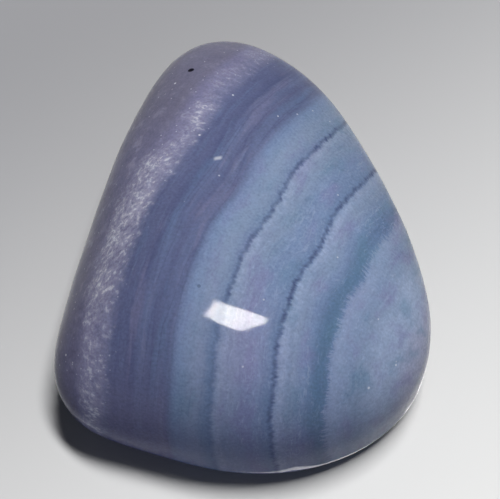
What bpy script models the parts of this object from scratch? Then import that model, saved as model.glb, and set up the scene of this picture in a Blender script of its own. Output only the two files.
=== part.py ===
"""A tumbled and polished pebble of banded blue chalcedony, one solid stone.

The stone lies on the small flat spot under it, tip away from the viewer (+Y) and broad end
towards the viewer (-Y). The origin is the centre of its footprint, on the surface it rests on.
Its plan outline is a smooth closed curve through fourteen points. Above the widest line is a
crown, thicker towards -X and the broad end and steepest towards +X. Below the line is a
shallow belly that lifts off the ground towards -X.
"""

import math

import bmesh
import bpy
import numpy as np

MILLIMETRE = 0.001

# The widest line seen from above: (hour on a clock face, radius in millimetres). Hour 12 is
# near the tip at +Y, 3 is +X, 6 the middle of the broad end, 8 the sharper of its corners.
OUTLINE = (
    (0.4, 17.7),
    (1.2, 14.0),
    (2.2, 12.0),
    (3.2, 12.8),
    (4.1, 14.7),
    (5.0, 14.8),
    (6.0, 14.2),
    (7.0, 14.6),
    (7.6, 15.4),
    (8.3, 13.0),
    (9.2, 11.1),
    (10.2, 11.8),
    (11.1, 15.5),
    (11.7, 19.0),
)
CORNER_FADE = 0.5  # power by which the outline's corners turn round towards top and bottom

STONE_HEIGHT = 12.4  # above the resting face at the middle, before the tapers
GIRDLE_RIGHT = 1.7  # height of the widest line above the resting face, at the +X side
GIRDLE_LEFT = 4.3  # and at the -X side, where the belly lifts further off the ground
GIRDLE_EASE = 2.5  # power by which the widest line rises from right to left
HALF_WIDTH = 12.4  # from the middle to the side where the widest line is lowest
CROWN_SQUARENESS = 2.6  # mean superellipse power: 2 is an ellipse, more is a flatter top
SQUARENESS_SWING = 1.1  # gained towards the square hour, where the flank is steepest
SQUARE_HOUR = 2.6  # on the clock face of the outline
SWING_FADE = 0.5  # power by which the swing dies out towards the top, which stays smooth
BELLY_SQUARENESS = 3.2
TIP_TAPER = 0.1  # share of the crown that is lost at the tip, and won at the broad end
SIDE_TAPER = 0.35  # share of it that is lost towards +X, and won towards -X
BELLY_WEAR = 1.01  # full depth of the belly before its lowest part is worn to the flat spot

CUBE_CUTS = 21  # cuts along each edge of the cube that becomes the pebble's even grid

STONE_BLUE = (0.20, 0.25, 0.38, 1.0)
STONE_ROUGHNESS = 0.16


def spline_slopes(hours, radii):
    """Slopes that make a closed cubic spline through the points, its bends continuous."""
    before = (hours - np.roll(hours, 1)) % 12
    after = np.roll(before, -1)
    rise_before = (radii - np.roll(radii, 1)) / before
    rise_after = np.roll(rise_before, -1)
    count = len(hours)
    matrix = np.zeros((count, count))
    for i in range(count):
        matrix[i, i - 1] = after[i]
        matrix[i, i] = 2 * (before[i] + after[i])
        matrix[i, (i + 1) % count] = before[i]
    return np.linalg.solve(matrix, 3 * (after * rise_before + before * rise_after))


HOURS, RADII = np.array(OUTLINE).T
SLOPES = spline_slopes(HOURS, RADII)
MEAN_RADIUS = RADII.mean()


def outline_radius(hour):
    """Plan radius in millimetres towards an hour from 0 to 12."""
    start = int(np.searchsorted(HOURS, hour, side="right")) - 1
    end = (start + 1) % len(HOURS)
    step = (HOURS[end] - HOURS[start]) % 12
    t = (hour - HOURS[start]) % 12 / step
    return (
        RADII[start] * (1 + 2 * t) * (1 - t) ** 2
        + RADII[end] * (3 - 2 * t) * t**2
        + SLOPES[start] * step * t * (1 - t) ** 2
        - SLOPES[end] * step * (1 - t) * t**2
    )


def stone_point(direction):
    """The pebble's surface point, in millimetres, for a direction from its middle."""
    level = math.hypot(direction.x, direction.y)
    above = direction.z >= 0
    clock_angle = math.atan2(direction.x, direction.y) % math.tau
    swing = math.cos(clock_angle - SQUARE_HOUR / 12 * math.tau)
    crown_power = CROWN_SQUARENESS + SQUARENESS_SWING * swing * level**SWING_FADE
    power = crown_power if above else BELLY_SQUARENESS
    reach = (level**power + abs(direction.z) ** power) ** (-1 / power)
    corner = outline_radius(clock_angle * 12 / math.tau) - MEAN_RADIUS
    radius = (MEAN_RADIUS + corner * (reach * level) ** CORNER_FADE) * reach * level
    x = radius * math.sin(clock_angle)
    y = radius * math.cos(clock_angle)
    towards_left = max(0, (1 - x / HALF_WIDTH) / 2) ** GIRDLE_EASE
    girdle = GIRDLE_RIGHT + (GIRDLE_LEFT - GIRDLE_RIGHT) * towards_left
    taper = 1 - (TIP_TAPER * y + SIDE_TAPER * x) / MEAN_RADIUS
    height = (STONE_HEIGHT - girdle) * taper if above else girdle * BELLY_WEAR
    z = girdle + height * reach * direction.z
    return x, y, z


def even_sphere(mesh):
    """Turns a gridded cube into a sphere whose cells are close to one size."""
    for vert in mesh.verts:
        for axis in range(3):
            vert.co[axis] = math.tan(vert.co[axis] * math.pi / 4)
        vert.co.normalize()


def chalcedony_mesh():
    """The pebble as one closed mesh in metres, centred over the origin, flat at z = 0."""
    mesh = bmesh.new()
    bmesh.ops.create_cube(mesh, size=2)
    bmesh.ops.subdivide_edges(
        mesh, edges=mesh.edges[:], cuts=CUBE_CUTS, use_grid_fill=True
    )
    even_sphere(mesh)
    for vert in mesh.verts:
        vert.co = stone_point(vert.co)
    everything = mesh.verts[:] + mesh.edges[:] + mesh.faces[:]
    cut = bmesh.ops.bisect_plane(
        mesh, geom=everything, plane_co=(0, 0, 0), plane_no=(0, 0, -1), clear_outer=True
    )
    rim = [item for item in cut["geom_cut"] if isinstance(item, bmesh.types.BMEdge)]
    bmesh.ops.contextual_create(mesh, geom=rim)
    middle = [
        (min(v.co[axis] for v in mesh.verts) + max(v.co[axis] for v in mesh.verts)) / 2
        for axis in range(2)
    ]
    for vert in mesh.verts:
        vert.co.x -= middle[0]
        vert.co.y -= middle[1]
        vert.co *= MILLIMETRE
    bmesh.ops.recalc_face_normals(mesh, faces=mesh.faces[:])
    data = bpy.data.meshes.new("chalcedony_stone")
    mesh.to_mesh(data)
    mesh.free()
    return data


def polished_chalcedony():
    """The mean colour and the polish of the stone."""
    material = bpy.data.materials.new("polished_chalcedony")
    material.use_nodes = True
    shader = material.node_tree.nodes["Principled BSDF"]
    shader.inputs["Base Color"].default_value = STONE_BLUE
    shader.inputs["Roughness"].default_value = STONE_ROUGHNESS
    shader.inputs["Metallic"].default_value = 0.0
    material.diffuse_color = STONE_BLUE
    return material


def clear_scene():
    for item in list(bpy.data.objects):
        bpy.data.objects.remove(item)


def main():
    clear_scene()
    collection = bpy.data.collections.new("blue_chalcedony")
    bpy.context.scene.collection.children.link(collection)
    data = chalcedony_mesh()
    data.materials.append(polished_chalcedony())
    data.shade_smooth()
    collection.objects.link(bpy.data.objects.new("chalcedony_stone", data))


main()
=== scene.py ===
"""A tumbled and polished pebble of banded blue chalcedony, lying on a plain pale floor."""

import math

import bpy
import numpy as np
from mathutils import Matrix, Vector


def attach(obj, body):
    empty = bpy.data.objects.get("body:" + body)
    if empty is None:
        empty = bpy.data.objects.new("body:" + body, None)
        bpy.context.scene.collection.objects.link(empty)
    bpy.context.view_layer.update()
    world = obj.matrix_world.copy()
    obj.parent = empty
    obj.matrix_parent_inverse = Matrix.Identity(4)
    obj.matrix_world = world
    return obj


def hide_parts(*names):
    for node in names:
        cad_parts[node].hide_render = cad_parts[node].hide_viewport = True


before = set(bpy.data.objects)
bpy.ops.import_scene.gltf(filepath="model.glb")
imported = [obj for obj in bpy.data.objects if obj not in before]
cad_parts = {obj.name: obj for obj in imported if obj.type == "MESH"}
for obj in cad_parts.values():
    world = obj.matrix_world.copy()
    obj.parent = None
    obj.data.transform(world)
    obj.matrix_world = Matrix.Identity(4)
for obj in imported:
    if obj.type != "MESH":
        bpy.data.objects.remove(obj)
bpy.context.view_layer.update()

# The stone's shape. Weeks of tumbling with grit have worn a broken piece of chalcedony to one
# smooth pebble: a rounded triangle in plan, its tip away from the viewer, with a crown that
# is thicker at the left and the broad end, and a flat spot below that it rests on.

MILLIMETRE = 0.001

# The widest line seen from above: (hour on a clock face, radius in millimetres). Hour 12 is
# near the tip at +Y, and 3 is +X.
OUTLINE = (
    (0.4, 17.7),
    (1.2, 14.0),
    (2.2, 12.0),
    (3.2, 12.8),
    (4.1, 14.7),
    (5.0, 14.8),
    (6.0, 14.2),
    (7.0, 14.6),
    (7.6, 15.4),
    (8.3, 13.0),
    (9.2, 11.1),
    (10.2, 11.8),
    (11.1, 15.5),
    (11.7, 19.0),
)
OUTLINE_SAMPLES = 360  # radii that the outline's waves are worked out from
OUTLINE_ORDERS = 12  # cosine and sine orders that the outline is drawn with

# Lengths are in millimetres. The crown is above the widest line, and the belly below it.
STONE_SIZES = {
    "Mean Radius": sum(radius for hour, radius in OUTLINE) / len(OUTLINE),
    "Corner Fade": 0.5,  # power by which the corners turn round towards top and bottom
    "Stone Height": 12.4,  # at the middle, before the tapers
    "Girdle Right": 1.7,  # height of the widest line at the right
    "Girdle Left": 4.3,  # and at the left
    "Girdle Ease": 2.5,  # power by which it rises from right to left
    "Half Width": 12.4,
    "Crown Squareness": 2.6,  # superellipse power: 2 is an ellipse, more is a flatter top
    "Squareness Swing": 1.1,  # gained towards the square hour, where the flank is steepest
    "Square Hour": 2.6,
    "Swing Fade": 0.5,  # power by which the swing dies out towards the top
    "Belly Squareness": 3.2,
    "Tip Taper": 0.1,  # share of the crown that is lost at the tip, won at the broad end
    "Side Taper": 0.35,  # share of it that is lost at the right, won at the left
    "Belly Wear": 1.01,  # the belly's full depth before it is worn to the flat spot
    "Unevenness": 0.05,
}
UNEVEN_SCALE = 0.16  # waves of the unevenness per millimetre
GRID = 118  # points along each edge of the cube that is rounded into the pebble
POLISH_LOSS = 0.0018  # share of its size that the last polish takes off

# Hollows in the polish, in millimetres: where, how wide from middle to rim, and how deep.
PIT = (-3.82, 10.02, 10.21)  # a pinhead pit near the tip
CHIP = (-2.77, -8.49, 12.46)  # a small chip left of the highlight
HOLLOWS = ((PIT, 0.3, 0.12), (CHIP, 0.2, 0.05))


class Wire:
    """A node's output. Arithmetic on it adds Math nodes to the tree that it belongs to."""

    def __init__(self, tree, socket=None):
        self.tree = tree
        self.socket = socket

    def add(self, kind, settings, inputs, outputs=0):
        """Adds a node: its settings first, then each input's value or wire."""
        node = self.tree.nodes.new(kind)
        for name, value in settings.items():
            if name == "stops":
                ramp = node.color_ramp
                ramp.elements.remove(ramp.elements[1])
                ramp.elements[0].position = value[0][0]
                ramp.elements[0].color = value[0][1]
                for place, colour in value[1:]:
                    ramp.elements.new(place).color = colour
            else:
                setattr(node, name, value)
        for key, value in inputs.items():
            if isinstance(value, Wire):
                self.tree.links.new(value.socket, node.inputs[key])
            else:
                node.inputs[key].default_value = value
        if isinstance(outputs, tuple):
            return tuple(Wire(self.tree, node.outputs[key]) for key in outputs)
        return Wire(self.tree, node.outputs[outputs])

    def math(self, operation, *others):
        """An operation on numbers, this one first."""
        values = dict(enumerate((self, *others)))
        return self.add("ShaderNodeMath", {"operation": operation}, values)

    def math_after(self, operation, other):
        """An operation on numbers, this one second."""
        return self.add("ShaderNodeMath", {"operation": operation}, {0: other, 1: self})

    def vector(self, operation, *others, output=0):
        """An operation on vectors or colours, this one first."""
        values = dict(enumerate((self, *others)))
        return self.add("ShaderNodeVectorMath", {"operation": operation}, values, output)

    def times(self, amount):
        """The vector or colour times a number."""
        return self.add("ShaderNodeVectorMath", {"operation": "SCALE"}, {0: self, "Scale": amount})

    def dot(self, direction):
        """How far the vector reaches in a direction."""
        return self.vector("DOT_PRODUCT", tuple(direction), output="Value")

    def distance(self, place):
        """How far the point is from a place."""
        return self.vector("DISTANCE", place, output="Value")

    def combine(self, x, y, z):
        """A vector of three numbers, whatever this wire is."""
        return self.add("ShaderNodeCombineXYZ", {}, {0: x, 1: y, 2: z})

    def separate(self):
        return self.add("ShaderNodeSeparateXYZ", {}, {0: self}, (0, 1, 2))

    def step(self, low, high):
        """0 below low and 1 above high, smooth between; falling where low is above high."""
        settings = {"interpolation_type": "SMOOTHSTEP"}
        return self.add("ShaderNodeMapRange", settings, {0: self, 1: low, 2: high})

    def between(self, start, full, full_until, end):
        """0 up to start, 1 from full to full_until and 0 again from end on."""
        return self.step(start, full) * self.step(end, full_until)

    def near(self, middle, width):
        """1 at middle, falling smoothly to 0 at width on both sides of it."""
        return abs(self - middle).step(width, 0.0)

    def noise(self, scale, detail=2.0, roughness=0.5):
        """Smooth noise at this vector, about -1 to 1."""
        inputs = {"Vector": self, "Scale": scale, "Detail": detail, "Roughness": roughness}
        return self.add("ShaderNodeTexNoise", {}, inputs) * 2.0 - 1.0

    def tint(self, amount, other):
        """The colour blended so far, 0 to 1, towards another one."""
        # A Mix node has its colours at sockets 6 and 7, and the blended one at output 2.
        inputs = {0: amount, 6: self, 7: other}
        return self.add("ShaderNodeMix", {"data_type": "RGBA"}, inputs, 2)

    def __add__(self, other):
        return self.math("ADD", other)

    __radd__ = __add__

    def __sub__(self, other):
        return self.math("SUBTRACT", other)

    def __rsub__(self, other):
        return self.math_after("SUBTRACT", other)

    def __mul__(self, other):
        return self.math("MULTIPLY", other)

    __rmul__ = __mul__

    def __truediv__(self, other):
        return self.math("DIVIDE", other)

    def __rtruediv__(self, other):
        return self.math_after("DIVIDE", other)

    def __pow__(self, other):
        return self.math("POWER", other)

    def __abs__(self):
        return self.math("ABSOLUTE")


def spline_slopes(hours, radii):
    """Slopes that make a closed cubic spline through the points, its bends continuous."""
    before = (hours - np.roll(hours, 1)) % 12
    after = np.roll(before, -1)
    rise_before = (radii - np.roll(radii, 1)) / before
    rise_after = np.roll(rise_before, -1)
    count = len(hours)
    matrix = np.zeros((count, count))
    for i in range(count):
        matrix[i, i - 1] = after[i]
        matrix[i, i] = 2 * (before[i] + after[i])
        matrix[i, (i + 1) % count] = before[i]
    return np.linalg.solve(matrix, 3 * (after * rise_before + before * rise_after))


def outline_radii(count):
    """The closed outline's radius at evenly spaced angles from hour 12, in millimetres."""
    hours, radii = np.array(OUTLINE).T
    slopes = spline_slopes(hours, radii)
    at = np.arange(count) * 12 / count
    start = np.searchsorted(hours, at, side="right") - 1
    end = (start + 1) % len(hours)
    step = (hours[end] - hours[start]) % 12
    t = (at - hours[start]) % 12 / step
    return (
        radii[start] * (1 + 2 * t) * (1 - t) ** 2
        + radii[end] * (3 - 2 * t) * t**2
        + slopes[start] * step * t * (1 - t) ** 2
        - slopes[end] * step * (1 - t) * t**2
    )


def outline_wire(angle):
    """The outline's radius at a clock angle, as a sum of cosines and sines."""
    waves = np.fft.rfft(outline_radii(OUTLINE_SAMPLES)) / OUTLINE_SAMPLES
    radius = float(waves[0].real)
    for order in range(1, OUTLINE_ORDERS + 1):
        turn = angle * order
        radius = turn.math("COSINE") * float(2 * waves[order].real) + radius
        radius = turn.math("SINE") * float(-2 * waves[order].imag) + radius
    return radius


def rounded_place(bench, size, x, y, z):
    """Where a direction from the cube's middle meets the pebble, in millimetres."""
    above = z.math("GREATER_THAN", 0.0)
    angle = x.math("ARCTAN2", y)
    swing = (angle - size["Square Hour"] * (math.tau / 12)).math("COSINE")
    level = (x * x + y * y) ** 0.5
    swing = size["Squareness Swing"] * swing * level ** size["Swing Fade"]
    crown_power = size["Crown Squareness"] + swing
    power = size["Belly Squareness"] + above * (crown_power - size["Belly Squareness"])
    reach = (level**power + abs(z) ** power) ** (-1.0 / power)
    ring = reach * level
    corner = outline_wire(angle) - size["Mean Radius"]
    radius = (size["Mean Radius"] + corner * ring ** size["Corner Fade"]) * ring
    across = radius * angle.math("SINE")
    along = radius * angle.math("COSINE")
    left = (1.0 - across / size["Half Width"]) / 2.0
    left = left.math("MAXIMUM", 0.0) ** size["Girdle Ease"]
    girdle = size["Girdle Right"] + (size["Girdle Left"] - size["Girdle Right"]) * left
    lean = size["Tip Taper"] * along + size["Side Taper"] * across
    taper = 1.0 - lean / size["Mean Radius"]
    belly = girdle * size["Belly Wear"]
    height = belly + above * ((size["Stone Height"] - girdle) * taper - belly)
    return bench.combine(across, along, girdle + height * reach * z)


def pebble_tree():
    """Rounds a gridded cube into the pebble, then wears it slightly uneven."""
    tree = bpy.data.node_groups.new("tumbled_pebble", "GeometryNodeTree")
    for name in STONE_SIZES:
        tree.interface.new_socket(name, in_out="INPUT", socket_type="NodeSocketFloat")
    tree.interface.new_socket("Grid", in_out="INPUT", socket_type="NodeSocketInt")
    tree.interface.new_socket("Finish", in_out="INPUT", socket_type="NodeSocketMaterial")
    tree.interface.new_socket("Geometry", in_out="OUTPUT", socket_type="NodeSocketGeometry")
    bench = Wire(tree)
    given = tree.nodes.new("NodeGroupInput")
    size = {socket.name: Wire(tree, socket) for socket in given.outputs if socket.name}

    grid = size["Grid"]
    sides = {"Size": (2, 2, 2), "Vertices X": grid, "Vertices Y": grid, "Vertices Z": grid}
    stone = bench.add("GeometryNodeMeshCube", {}, sides)
    place = bench.add("GeometryNodeInputPosition", {}, {})
    widened = place.times(math.pi / 4).vector("TANGENT")
    x, y, z = widened.vector("NORMALIZE").separate()
    rounded = {"Geometry": stone, "Position": rounded_place(bench, size, x, y, z)}
    stone = bench.add("GeometryNodeSetPosition", {}, rounded)

    place = bench.add("GeometryNodeInputPosition", {}, {})
    normal = bench.add("GeometryNodeInputNormal", {}, {})
    wear = place.noise(UNEVEN_SCALE, 1.0) * size["Unevenness"]
    for centre, width, depth in HOLLOWS:
        wear = wear - place.distance(centre).step(width, 0.0) * depth
    worn = {"Geometry": stone, "Offset": normal.times(wear)}
    stone = bench.add("GeometryNodeSetPosition", {}, worn)

    x, y, z = bench.add("GeometryNodeInputPosition", {}, {}).separate()
    flat = bench.combine(x, y, z.math("MAXIMUM", 0.0))
    stone = bench.add("GeometryNodeSetPosition", {}, {"Geometry": stone, "Position": flat})
    low, high = bench.add("GeometryNodeBoundBox", {}, {"Geometry": stone}, ("Min", "Max"))
    to_middle = low.vector("ADD", high).vector("MULTIPLY", (-0.5, -0.5, 0))
    moved = {"Geometry": stone, "Translation": to_middle}
    stone = bench.add("GeometryNodeTransform", {}, moved)
    scaled = {"Geometry": stone, "Scale": (MILLIMETRE * (1 - POLISH_LOSS),) * 3}
    stone = bench.add("GeometryNodeTransform", {}, scaled)
    stone = bench.add("GeometryNodeSetShadeSmooth", {}, {"Geometry": stone})
    stone = bench.add("GeometryNodeRealizeInstances", {}, {"Geometry": stone})
    finished = {"Geometry": stone, "Material": size["Finish"]}
    stone = bench.add("GeometryNodeSetMaterial", {}, finished)
    end = tree.nodes.new("NodeGroupOutput")
    tree.links.new(stone.socket, end.inputs["Geometry"])
    return tree


# The stone's finish. Chalcedony grows as thin layers of quartz fibres on the wall of a cavity,
# so the layers are shells round one axis, here to the right of the stone and leaning towards
# the viewer, and they run through the whole stone. Its polish is a soft, waxy gloss.

LAYER_AXIS = (0.09, -0.587, 0.805)
LAYER_CENTRE = (16.75, -12.77, 6.0)  # a point on that axis, millimetres
RUN_RADIUS = 20.0  # where a length along the layers is true, millimetres from the axis


def paint(red, green, blue):
    """A colour as a picture program names it, 0 to 255, made linear."""
    shares = (value / 255 for value in (red, green, blue))
    linear = [s / 12.92 if s <= 0.04045 else ((s + 0.055) / 1.055) ** 2.4 for s in shares]
    return (*linear, 1.0)


MILK = paint(133, 149, 178)
SKY = paint(127, 143, 170)
PALE = paint(143, 158, 185)
HAZE = paint(118, 136, 168)
PEARL = paint(152, 158, 185)
DENIM = paint(98, 119, 152)
SLATE = paint(97, 106, 139)
DUSK = paint(92, 98, 131)
INK = paint(84, 90, 124)
SMOKE = paint(116, 115, 145)
FROST = paint(158, 157, 181)
WISP = paint(158, 170, 196)
LILAC_BLEND_AND_SHADE = paint(107, 109, 146)
DEEP = paint(84, 112, 138)
VEIN = paint(78, 90, 124)
LILAC = paint(122, 121, 161)
ROSE = paint(140, 137, 170)
TEAL = paint(98, 128, 153)
SPARK = paint(205, 208, 216)
OUTER_PAINTED_SHADE = paint(86, 84, 110)
FLINT = paint(104, 102, 117)
HOLLOW_DARK = paint(22, 21, 30)

# Distance from the axis in millimetres, and the colour there.
# The innermost stops, at the stone's right, are partly painted light: set lighter for the light
# that falls from the right.
LAYERS = (
    (4.0, PEARL),
    (6.3, PEARL),
    (7.3, PALE),
    (8.6, PALE),
    (9.8, SKY),
    (11.6, HAZE),
    (12.2, DENIM),
    (12.7, DENIM),
    (13.5, HAZE),
    (14.2, SKY),
    (14.9, MILK),
    (15.3, HAZE),
    (16.9, HAZE),
    (17.8, SKY),
    (20.3, SKY),
    (21.2, HAZE),
    (21.8, SLATE),
    (22.3, SLATE),
    (22.8, DUSK),
    (23.3, SLATE),
    (23.6, SLATE),
    (24.1, INK),
    (24.6, DUSK),
    (25.3, DUSK),
    (26.8, SMOKE),
    (32.0, SMOKE),
)

# Where some of them begin, are full, are no longer full and end.
DARK_LAYERS = (21.3, 22.0, 25.2, 25.6)
WHITE_LAYER = (25.1, 26.0, 26.6, 27.6)
RAGGED_LAYER = (11.9, 12.3, 13.5)  # its ragged inner side, where it fades, and its end
OUTER_ZONE = (26.9, 27.8)  # it begins, and is full out to the surface

# The wall that they grew on wasn't quite round. They lie this far outside true circles, less
# at two dents in it: where along the run, half its width, and its depth.
WALL_OUT = 0.12
WALL_DENTS = ((-13.3, 3.4, 0.38), (-1.5, 3.5, 0.18))

# Two thin dark layers: distance, and the strength of the line, of the shade outside it and of
# the fade that turns the line soft low on the near side.
THIN_LAYERS = ((19.04, 0.75, 0.45, 0.6), (15.33, 0.85, 0.5, 0.15))

# Specks: cells per millimetre, half width in millimetres and share of the cells with one.
SPREAD_SPECKS = (0.8, 0.09, 0.35)
OUTER_SPECKS = (2.2, 0.07, 0.5)

# The brightest flecks of coarser quartz: where, and half their width in millimetres.
FLECKS = (
    ((-4.9, 8.79, 10.3), 0.12),
    ((-0.82, 7.11, 11.13), 0.1),
    ((-2.99, 2.99, 12.19), 0.1),
    ((2.27, 5.69, 10.64), 0.08),
    ((9.61, -11.53, 7.54), 0.1),
    ((7.8, -13.19, 7.72), 0.12),
    ((-11.45, -10.62, 7.08), 0.1),
)
DASH = (-1.74, 1.03, 12.37)  # a short white dash left of the middle
DASH_HALF_LENGTH = 0.36
DASH_HALF_WIDTH = 0.24
DASH_SLOPE = 0.35  # millimetres towards the tip for each one to the right
DASH_DEPTH = (-1.0, -0.8)  # it ends between these depths below the surface

# The darkened hollows: where, half its width in millimetres, and how dark from 0 to 1.
HOLLOW_DARKENING = ((PIT, 0.27, 1.0), (CHIP, 0.13, 0.35))

REFRACTIVE_INDEX = 1.54
REFLECTION = 0.06  # waxy: the gloss of bare crystal with that index would be 0.5
POLISH_ROUGHNESS = 0.05
GRAIN_ROUGHNESS = 0.03  # what the polish's grain adds and takes away
GRAIN_SCALE = 7.0  # grains per millimetre
GRAIN_DEPTH = 0.0025 * MILLIMETRE
SCATTERING = 0.6  # share of the light that scatters under the skin
SCATTER_REACH = (1.5, 1.2, 1.0)  # how far red, green and blue get there, millimetres


class Growth:
    """Where a point lies in the layers, in millimetres: out from the axis (radius, layer), on
    round it (run, from the left, less towards the tip) and up along it (height)."""

    def __init__(self, bench, point):
        axis = Vector(LAYER_AXIS).normalized()
        start = Vector((-1, 0, 0)) + axis * axis.x
        start.normalize()
        from_centre = point.vector("SUBTRACT", LAYER_CENTRE)
        self.bench = bench
        self.point = point
        self.height = from_centre.dot(axis)
        up_axis = bench.combine(*axis).times(self.height)
        outward = from_centre.vector("SUBTRACT", up_axis)
        angle = outward.dot(axis.cross(start)).math("ARCTAN2", outward.dot(start))
        self.run = angle * RUN_RADIUS
        self.wall = bench.combine(0.0, self.run, self.height)

        # The wall's dents, then its jagged teeth, which the layers follow in part.
        wave = WALL_OUT
        for dent, width, depth in WALL_DENTS:
            wave = wave - self.run.near(dent, width) * depth
        self.radius = outward.vector("LENGTH", output="Value") - wave
        self.teeth = self.wall.noise(1.3, 3.0, 0.65) * 0.22
        self.layer = self.radius + self.teeth * 0.35 + point.noise(0.4, 2.0) * 0.12

        # Fine fibres across the layers, and the share by which a point is low and near.
        self.wisps = self.drawn_out(self.radius, across=1.1, along=3.0, detail=4.0, roughness=0.75)
        self.low = self.run.step(-2.0, 7.0)

    def drawn_out(self, depth, across, along, detail, roughness):
        """Noise with so many features per millimetre across the layers, and along them."""
        place = self.bench.combine(depth * across, self.run * along, self.height * along)
        return place.noise(1.0, detail, roughness)


def layer_colour(growth):
    """The layers themselves, as a ramp of colours out from the axis."""
    inner, outer = LAYERS[0][0], LAYERS[-1][0]
    stops = [((place - inner) / (outer - inner), colour) for place, colour in LAYERS]
    place = (growth.layer - inner) / (outer - inner)
    return growth.bench.add("ShaderNodeValToRGB", {"stops": stops}, {0: place})


def add_clouds(colour, growth):
    """Clouds of lilac and of teal, a few millimetres wide, and a rose veil in the middle."""
    clouds = growth.drawn_out(growth.layer, across=0.5, along=0.17, detail=3.0, roughness=0.6)
    pale_layers = growth.radius.step(22.0, 20.5)
    colour = colour.tint(clouds.step(0.0, 0.35) * pale_layers * 0.5, LILAC)
    colour = colour.tint(clouds.step(-0.03, -0.4) * pale_layers * 0.5, TEAL)
    veil = growth.run.near(-4.0, 6.0) * growth.radius.near(17.5, 4.5)
    return colour.tint(veil * 0.45, ROSE)


def add_streaks(colour, growth):
    """The dark layers are streaked and seamed along their course; low on the near side they are
    painted lighter and greyer, as light.
    """
    streaks = growth.drawn_out(growth.layer, across=1.3, along=0.14, detail=3.0, roughness=0.6)
    seams = growth.drawn_out(growth.layer, across=1.2, along=0.07, detail=2.0, roughness=0.5)
    dark_layers = growth.radius.between(*DARK_LAYERS)
    colour = colour.tint(streaks.step(0.05, 0.4) * dark_layers * 0.55, SMOKE)
    colour = colour.tint(streaks.step(-0.05, -0.4) * dark_layers * 0.35, DENIM)
    colour = colour.tint(abs(seams).step(0.07, 0.0) * dark_layers * 0.5, INK)
    # Painted light: the dark layers lightened towards grey low on the near side.
    return colour.tint(dark_layers * growth.run.step(-4.0, 4.0) * 0.85, SMOKE)


def add_laminae(colour, growth):
    """Growth layers much thinner than the bands, like the grain of wood, with pale hairs
    between them. Low on the near side they blend into one lilac blue, which is partly painted
    shade."""
    lamina = growth.drawn_out(growth.layer, across=4.5, along=0.3, detail=4.0, roughness=0.65)
    colour = colour.tint(lamina.step(0.0, 0.6) * 0.2, MILK)
    colour = colour.tint(lamina.step(0.0, -0.6) * 0.22, INK)
    # Partly painted shade: low on the near side the pale layers darken and all blend into one
    # lilac blue.
    colour = colour.tint(growth.low * growth.radius.step(11.0, 13.0) * 0.55, LILAC_BLEND_AND_SHADE)
    hairs = growth.drawn_out(growth.layer, across=2.4, along=0.45, detail=2.0, roughness=0.7)
    hairs = abs(hairs).step(0.07, 0.0) * lamina.step(-0.2, 0.3) * growth.radius.step(20.0, 18.8)
    return colour.tint(hairs * 0.35, WISP)


def add_ragged_layer(colour, growth):
    """A broad dark layer, ragged on its inner side where pale fibres run into it."""
    inner_side, full_until, end = RAGGED_LAYER
    into = growth.radius - inner_side - growth.wisps * 1.1
    dark = into.step(-0.05, 0.3) * growth.radius.step(end, full_until)
    colour = colour.tint(dark * growth.run.step(-18.5, -13.5) * 0.5, DEEP)
    fibres = into.step(0.05, -0.2) * growth.radius.step(10.2, 11.6)
    return colour.tint(fibres * 0.3, WISP)


def add_thin_layers(colour, growth):
    """The thin dark layers have a jagged course, a soft shade outside and fibres inside."""
    uneven = growth.wall.noise(1.6, 2.0, 0.6) * 1.2 + 0.85
    saw = growth.wall.noise(3.4, 2.0, 0.6) * 0.22
    for place, strength, shade, fade in THIN_LAYERS:
        beside = growth.radius + growth.teeth + saw - place
        kept = 1.0 - growth.run.step(-7.5, -6.0) * fade
        fibres = beside.step(-0.9, -0.25) * (beside + growth.wisps * 0.4).step(-0.08, -0.25)
        colour = colour.tint(fibres * (0.3 + growth.wisps * 0.9), WISP)
        colour = colour.tint(beside.step(1.0, 0.0) * beside.step(-0.12, 0.1) * shade, DENIM)
        colour = colour.tint(beside.near(0.1, 0.7) * (1.0 - kept) * 0.9, DENIM)
        line = beside.near(0.02, 0.2 + uneven * 0.06) * uneven
        colour = colour.tint(line * kept * strength, VEIN)
    return colour


def add_white_layer(colour, growth):
    """The fibrous white layer: fibres stand across it and end raggedly on the outer side."""
    radius, run, wall = growth.radius, growth.run, growth.wall
    inner_edge = radius + wall.noise(0.9, 3.0, 0.6) * 0.35
    outer_edge = radius + wall.noise(0.6, 4.0, 0.7) * 0.8 + run.step(-11.0, -14.0) * 0.35
    start, full, full_until, end = WHITE_LAYER
    band = inner_edge.step(start, full + growth.low * 0.8) * outer_edge.step(end, full_until)

    # It is faint at the tip and low down, and brightest halfway.
    band = band * (1.0 - run.step(-10.5, -14.0) * 0.3 - run.step(-15.0, -18.0) * 0.35)
    band = band * (1.0 + run.near(-8.8, 3.0) * 0.55 - run.near(-1.2, 2.5) * 0.2)
    band = band * (1.0 - growth.low * 0.5)

    patches = wall.noise(0.5, 2.0).step(-0.5, 0.3)
    fibres = growth.drawn_out(radius, across=0.9, along=3.3, detail=3.0, roughness=0.6)
    colour = colour.tint(band * (0.34 + patches * 0.36 + fibres * 0.7), FROST)
    curls = growth.drawn_out(radius, across=1.1, along=1.5, detail=3.0, roughness=0.65)
    curls = abs(curls).step(0.07, 0.01) * radius.step(25.9, 26.6) * (0.15 + patches)
    colour = colour.tint(curls * band * 0.4, SPARK)
    colour = colour.tint(fibres.step(0.08, 0.35) * band * (0.2 + patches) * 0.65, SPARK)
    return colour.tint(fibres.step(-0.08, -0.35) * band * 0.5, SMOKE)


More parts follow.
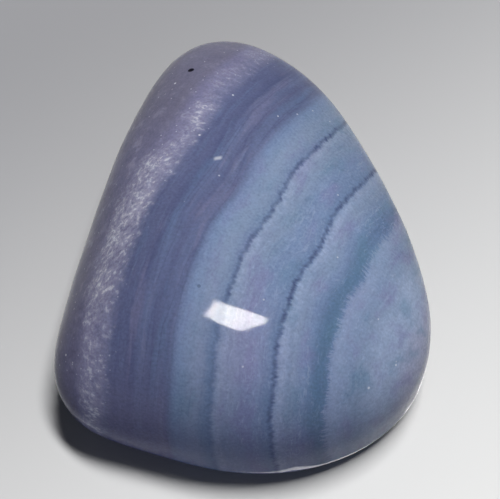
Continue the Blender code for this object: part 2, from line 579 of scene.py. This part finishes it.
def add_outer_zone(colour, growth):
    """The outermost layer is cloudy, with pale tufts, painted shade low on the near side, and
    greyer at the tip.
    """
    outer = growth.radius.step(*OUTER_ZONE)
    tufts = growth.point.noise(0.9, 3.0, 0.6)
    colour = colour.tint(tufts.step(0.05, 0.4) * outer * 0.5, FROST)
    colour = colour.tint(tufts.step(0.0, -0.4) * outer * 0.3, INK)
    # Painted shade: the outer layer darkened low on the near side.
    colour = colour.tint(outer * growth.run.step(-12.0, -4.0) * 0.5, OUTER_PAINTED_SHADE)
    return colour.tint(outer * growth.run.step(-10.0, -15.0) * 0.6, FLINT)


def add_mottle(colour, growth):
    """A fine mottle all over, and a slightly darker tip."""
    point = growth.point
    mottle = point.noise(2.2, 3.0, 0.65) * 0.12 + point.noise(6.0, 1.0) * 0.22
    return colour.times((1.0 + mottle) * (1.0 - growth.run.step(-16.0, -21.0) * 0.14))


def add_specks(colour, growth):
    """Specks of coarser quartz, many of them in the white layer and outside it, the single
    bright flecks and the dash, and the darkened hollows."""
    point = growth.point
    white_and_outer = growth.radius.step(24.5, 26.0)
    for specks, where in ((SPREAD_SPECKS, 1.0), (OUTER_SPECKS, white_and_outer)):
        scale, width, share = specks
        inputs = {"Vector": point, "Scale": scale}
        away, cell = point.add("ShaderNodeTexVoronoi", {}, inputs, ("Distance", "Color"))
        chosen = cell.separate()[0].step(1.0 - share, 1.02 - share)
        speck = away.step(width * scale, width * scale * 0.4)
        colour = colour.tint(speck * chosen * where * 0.55, SPARK)
    for centre, width in FLECKS:
        colour = colour.tint(point.distance(centre).step(width, width * 0.4) * 0.85, SPARK)
    x, y, z = point.vector("SUBTRACT", DASH).separate()
    dash = abs(x).step(DASH_HALF_LENGTH, DASH_HALF_LENGTH * 0.3)
    dash = dash * abs(y - x * DASH_SLOPE).step(DASH_HALF_WIDTH, 0.0) * z.step(*DASH_DEPTH)
    colour = colour.tint(dash * 0.65, SPARK)
    # The pit and the chip are darkened.
    for centre, width, dark in HOLLOW_DARKENING:
        colour = colour.tint(point.distance(centre).step(width, width * 0.7) * dark, HOLLOW_DARK)
    return colour


def chalcedony_finish():
    """Opaque with some scattering under its skin, and a gloss with a very fine grain."""
    material = bpy.data.materials.new("polished_chalcedony")
    material.use_nodes = True
    tree = material.node_tree
    bench = Wire(tree)
    shader = tree.nodes["Principled BSDF"]
    point = bench.add("ShaderNodeTexCoord", {}, {}, "Object").times(1 / MILLIMETRE)
    growth = Growth(bench, point)
    colour = layer_colour(growth)
    for add in (
        add_clouds,
        add_streaks,
        add_laminae,
        add_ragged_layer,
        add_thin_layers,
        add_white_layer,
        add_outer_zone,
        add_mottle,
        add_specks,
    ):
        colour = add(colour, growth)
    tree.links.new(colour.socket, shader.inputs["Base Color"])
    grain = point.noise(GRAIN_SCALE, 2.0, 0.6)
    roughness = POLISH_ROUGHNESS + grain * GRAIN_ROUGHNESS
    tree.links.new(roughness.socket, shader.inputs["Roughness"])
    relief = {"Strength": 0.3, "Distance": GRAIN_DEPTH, "Height": grain}
    bump = bench.add("ShaderNodeBump", {}, relief)
    tree.links.new(bump.socket, shader.inputs["Normal"])
    shader.inputs["IOR"].default_value = REFRACTIVE_INDEX
    shader.inputs["Specular IOR Level"].default_value = REFLECTION
    shader.inputs["Subsurface Weight"].default_value = SCATTERING
    shader.inputs["Subsurface Radius"].default_value = SCATTER_REACH
    shader.inputs["Subsurface Scale"].default_value = MILLIMETRE
    return material


# The tree shapes the stone once, and its result is kept as a plain mesh.
maker = bpy.data.objects.new("pebble_maker", bpy.data.meshes.new("pebble_maker"))
bpy.context.scene.collection.objects.link(maker)
modifier = maker.modifiers.new("tumbling", "NODES")
modifier.node_group = pebble_tree()
sockets = {
    item.name: item.identifier
    for item in modifier.node_group.interface.items_tree
    if item.in_out == "INPUT"
}
for name, value in STONE_SIZES.items():
    modifier[sockets[name]] = value
modifier[sockets["Grid"]] = GRID
modifier[sockets["Finish"]] = chalcedony_finish()
evaluated = maker.evaluated_get(bpy.context.evaluated_depsgraph_get())
stone_mesh = bpy.data.meshes.new_from_object(evaluated)
stone_mesh.name = "polished_stone"
bpy.data.objects.remove(maker)
stone = bpy.data.objects.new("polished_stone", stone_mesh)
bpy.context.scene.collection.objects.link(stone)
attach(stone, "root")
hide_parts("chalcedony_stone")

# The floor: a plain pale sheet with painted light, its colour brighter towards the viewer's right,
# where the light is.

FLOOR_SIZE = 3.0  # metres across
FLOOR_DIM_PAINTED_TONE = (0.32, 0.32, 0.335, 1)
FLOOR_LIT_PAINTED_TONE = (0.82, 0.82, 0.81, 1)
FLOOR_FADE = (-28.0, 34.0)  # millimetres along the fade where each tone is reached
FLOOR_FADE_RIGHT = 0.45  # the fade's direction, to the right
FLOOR_FADE_NEARER = 0.8  # and towards the viewer
FLOOR_ROUGHNESS = 0.8

floor_mesh = bpy.data.meshes.new("floor")
half = FLOOR_SIZE / 2
floor_mesh.from_pydata(
    [(-half, -half, 0), (half, -half, 0), (half, half, 0), (-half, half, 0)], [], [(0, 1, 2, 3)]
)
floor = bpy.data.objects.new("floor", floor_mesh)
bpy.context.scene.collection.objects.link(floor)
floor_finish = bpy.data.materials.new("pale_floor")
floor_finish.use_nodes = True
floor_shader = floor_finish.node_tree.nodes["Principled BSDF"]
floor_bench = Wire(floor_finish.node_tree)
x, y, z = floor_bench.add("ShaderNodeTexCoord", {}, {}, "Object").times(1 / MILLIMETRE).separate()
# Painted light: the floor's colour runs from a dim tone to a lit one towards the right and the
# viewer.
painted_floor_light = (x * FLOOR_FADE_RIGHT - y * FLOOR_FADE_NEARER).step(*FLOOR_FADE)
tones = {0: painted_floor_light, 6: FLOOR_DIM_PAINTED_TONE, 7: FLOOR_LIT_PAINTED_TONE}
floor_tone_with_painted_light = floor_bench.add("ShaderNodeMix", {"data_type": "RGBA"}, tones, 2)
floor_finish.node_tree.links.new(floor_tone_with_painted_light.socket, floor_shader.inputs["Base Color"])
floor_shader.inputs["Roughness"].default_value = FLOOR_ROUGHNESS
floor_shader.inputs["Specular IOR Level"].default_value = 0.0
floor_mesh.materials.append(floor_finish)
floor.visible_diffuse = False

# The light: a long softbox overhead, a little behind and to the right, a low and weak fill in
# front, two sheets that show only in the polish, and a dim room round them.

STONE_TOP = Vector((0.0, -0.004, 0.010))


def area_light(name, direction, distance, size, watts, colour):
    """A rectangular lamp, in metres and watts, that faces the stone's top."""
    lamp = bpy.data.lights.new(name, "AREA")
    lamp.shape = "RECTANGLE"
    lamp.size, lamp.size_y = size
    lamp.energy = watts
    lamp.color = colour
    holder = bpy.data.objects.new(name, lamp)
    aim = Vector(direction).normalized()
    holder.location = STONE_TOP + aim * distance
    holder.rotation_euler = aim.to_track_quat("Z", "Y").to_euler()
    holder.visible_glossy = False
    bpy.context.scene.collection.objects.link(holder)


def polish_light(name, points, faces, colour, strength):
    """A glowing sheet that is seen only as a reflection in the stone's polish."""
    mesh = bpy.data.meshes.new(name)
    mesh.from_pydata(points, [], faces)
    glow = bpy.data.materials.new(name + "_glow")
    glow.use_nodes = True
    shader = glow.node_tree.nodes["Principled BSDF"]
    shader.inputs["Base Color"].default_value = (0, 0, 0, 1)
    shader.inputs["Emission Color"].default_value = (*colour, 1)
    shader.inputs["Emission Strength"].default_value = strength
    mesh.materials.append(glow)
    sheet = bpy.data.objects.new(name, mesh)
    bpy.context.scene.collection.objects.link(sheet)
    sheet.visible_diffuse = False
    sheet.visible_camera = False
    sheet.visible_shadow = False


area_light(
    "key_softbox",
    direction=(0.18, 0.185, 0.97),
    distance=0.5,
    size=(0.22, 0.06),
    watts=2.85,
    colour=(1.0, 1.0, 1.0),
)
area_light(
    "front_fill",
    direction=(-0.12, -1.0, 0.04),
    distance=0.4,
    size=(0.5, 0.05),
    watts=0.4,
    colour=(0.7, 0.75, 1.0),
)

# A slanted window, the highlight on the crown: its corners as directions from the stone's top.
WINDOW_CORNERS = ((0.04, -0.06), (-0.13, -0.3), (0.13, -0.35), (0.41, -0.04))
WINDOW_DISTANCE = 0.5
WINDOW_COLOUR = (1.0, 0.94, 0.88)
WINDOW_STRENGTH = 115.0
window_points = [
    STONE_TOP + Vector((x, y, math.sqrt(1 - x * x - y * y))) * WINDOW_DISTANCE
    for x, y in WINDOW_CORNERS
]
polish_light("window", window_points, [(0, 1, 2, 3)], WINDOW_COLOUR, WINDOW_STRENGTH)

# The lit floor close to the stone, a thin line of light along the edge at the lower right:
# the strip's inner side as x and y, and its width, in millimetres.
RIM_LINE = (
    (-1.0, -17.3, 0.0),
    (3.5, -17.0, 0.3),
    (7.3, -15.0, 0.5),
    (11.3, -11.6, 0.32),
    (12.9, -8.5, 0.0),
)
RIM_OUTWARD = (0.57, -0.82)
RIM_HEIGHT = 0.2
RIM_COLOUR = (1.0, 0.98, 1.0)
RIM_STRENGTH = 3.0
rim_points = [
    (Vector((x, y, RIM_HEIGHT)) + Vector((*RIM_OUTWARD, 0.0)) * width) * MILLIMETRE
    for x, y, full_width in RIM_LINE
    for width in (0.0, full_width)
]
rim_faces = [(i, i + 1, i + 3, i + 2) for i in range(0, 2 * len(RIM_LINE) - 2, 2)]
polish_light("lit_floor_edge", rim_points, rim_faces, RIM_COLOUR, RIM_STRENGTH)

ROOM_COLOUR = (0.75, 0.8, 0.85, 1)
ROOM_STRENGTH = 0.04

world = bpy.data.worlds.new("studio")
world.use_nodes = True
room = world.node_tree.nodes["Background"]
room.inputs["Color"].default_value = ROOM_COLOUR
room.inputs["Strength"].default_value = ROOM_STRENGTH
bpy.context.scene.world = world
bpy.context.scene.view_settings.view_transform = "Standard"

# The camera looks down at the stone from the broad end, 60 degrees above the floor.

ELEVATION = math.radians(60)
LENS = 85.0
SENSOR = 36.0
PICTURE_WIDTH = 500
PIXELS_PER_MILLIMETRE = 14.4
AIM_HEIGHT = 6.0  # the point above the footprint's centre that it is aimed from, millimetres
AIM_RIGHT = 0.35  # and how far the picture's middle lies right of that point
AIM_DOWN = 1.89  # and below it

camera = bpy.data.cameras.new("camera")
camera.lens = LENS
camera.sensor_width = SENSOR
camera.clip_start = 0.005
camera.clip_end = 10.0
viewpoint = bpy.data.objects.new("camera", camera)
distance = LENS / SENSOR * PICTURE_WIDTH / PIXELS_PER_MILLIMETRE * MILLIMETRE
right = Vector((1, 0, 0))
up = Vector((0, math.sin(ELEVATION), math.cos(ELEVATION)))
back_along = Vector((0, -math.cos(ELEVATION), math.sin(ELEVATION)))
target = (Vector((0, 0, AIM_HEIGHT)) + right * AIM_RIGHT - up * AIM_DOWN) * MILLIMETRE
viewpoint.location = target + back_along * distance
viewpoint.rotation_euler = (math.radians(90) - ELEVATION, 0, 0)
bpy.context.scene.collection.objects.link(viewpoint)
bpy.context.scene.camera = viewpoint
